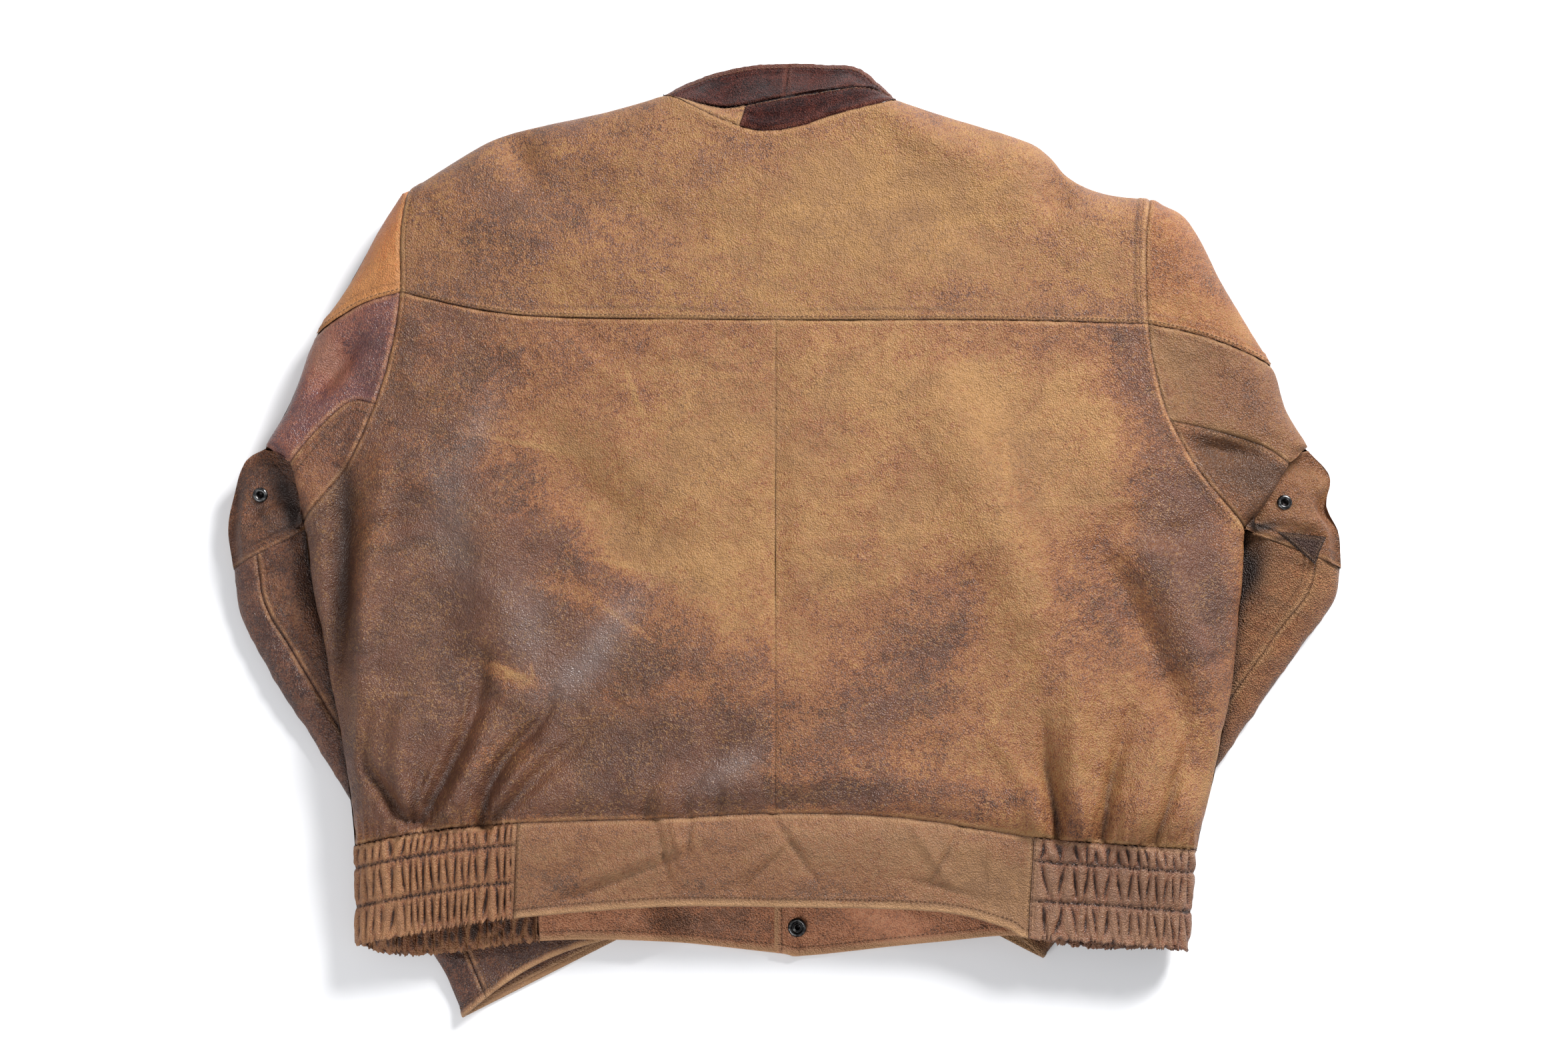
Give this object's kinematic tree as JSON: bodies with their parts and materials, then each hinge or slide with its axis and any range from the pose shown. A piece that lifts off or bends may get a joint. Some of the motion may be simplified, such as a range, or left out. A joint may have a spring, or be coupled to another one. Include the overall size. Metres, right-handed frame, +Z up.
{
  "type": "leather jacket",
  "caption": "Worn leather bomber jacket lying face down, collar up, sleeves bent in under the body, with gathered waistband sides and an open snap tab.",
  "frame": {"origin": "on the surface the jacket lies on, under the middle of its bounding box", "axes": "+X towards the wearer's right sleeve, +Y from hem to collar, +Z up through the back"},
  "size_m": [0.8264, 0.7148, 0.051],
  "materials": {
    "back_leather": "worn golden brown with dark mottling",
    "worn_orange": "worn through to orange tan",
    "dark_leather": "dark red-brown, satin",
    "band_leather": "mid brown with rubbed tan edges",
    "collar_leather": "dark chocolate, satin",
    "zip_tape": "woven, matt",
    "dark_nickel": "dull dark nickel"
  },
  "bodies": {
    "root": {"back_left": "back_leather", "back_right": "back_leather", "back_yoke": "back_leather", "collar_fall_left": "collar_leather", "collar_fall_right": "collar_leather", "collar_stand": "collar_leather", "collar_stand_left": "back_leather", "cuff_facing_left": "back_leather", "cuff_facing_right": "back_leather", "elastic_left": "band_leather", "elastic_right": "band_leather", "elbow_insert_right": "collar_leather", "eyelet_left": "dark_nickel", "eyelet_right": "dark_nickel", "forearm_inner_left": "back_leather", "forearm_inner_right": "back_leather", "forearm_outer_left": "dark_leather", "forearm_outer_right": "back_leather", "front_left": "back_leather", "front_right": "back_leather", "front_zip": "zip_tape", "sleeve_cap_left": "worn_orange", "sleeve_cap_right": "worn_orange", "sleeve_under_left": "back_leather", "sleeve_under_right": "back_leather", "sleeve_upper_left": "dark_leather", "sleeve_upper_right": "back_leather", "snap_ring": "dark_nickel", "underarm_left": "back_leather", "underarm_right": "back_leather", "waistband_back": "band_leather", "waistband_front_left": "band_leather", "waistband_front_right": "band_leather"}
  },
  "joints": []
}
